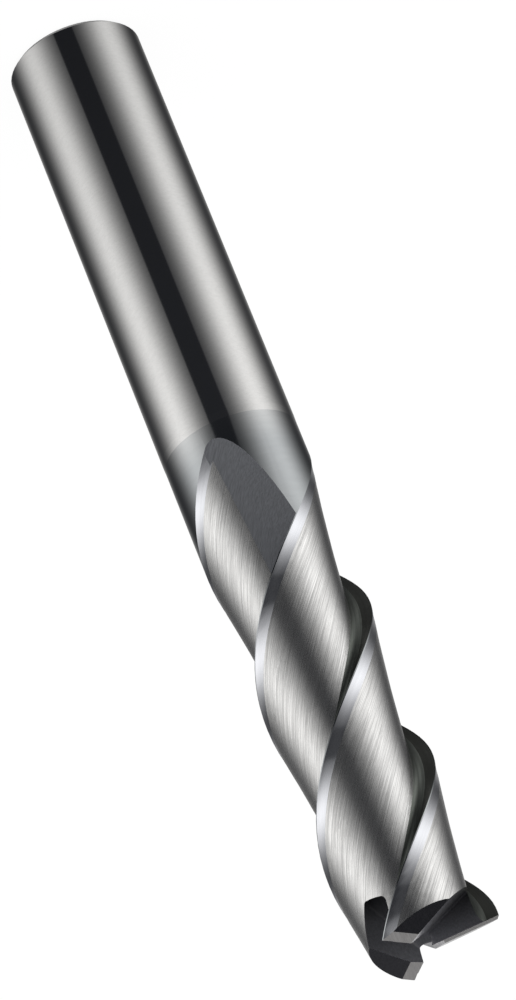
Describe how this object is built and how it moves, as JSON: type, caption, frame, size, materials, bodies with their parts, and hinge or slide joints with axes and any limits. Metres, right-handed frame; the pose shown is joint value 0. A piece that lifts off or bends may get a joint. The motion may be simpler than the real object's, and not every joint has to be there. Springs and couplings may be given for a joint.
{
  "type": "slot end mill",
  "caption": "Solid milling cutter with a plain round shank, right-hand helical flutes that run out into the shank, and ground end teeth, one of which cuts to the centre.",
  "frame": {"origin": "centre of the flat shank end", "axes": "+Z along the tool's axis from the shank end to the cutting tip; the picture looks at the tool from -Y, steeply from the tip's side"},
  "size_m": [0.01, 0.01, 0.076],
  "materials": {
    "ground_carbide": "fine-ground solid carbide, polished shank with brighter brushed flutes"
  },
  "bodies": {
    "root": {"slot_end_mill": "ground_carbide"}
  },
  "joints": []
}
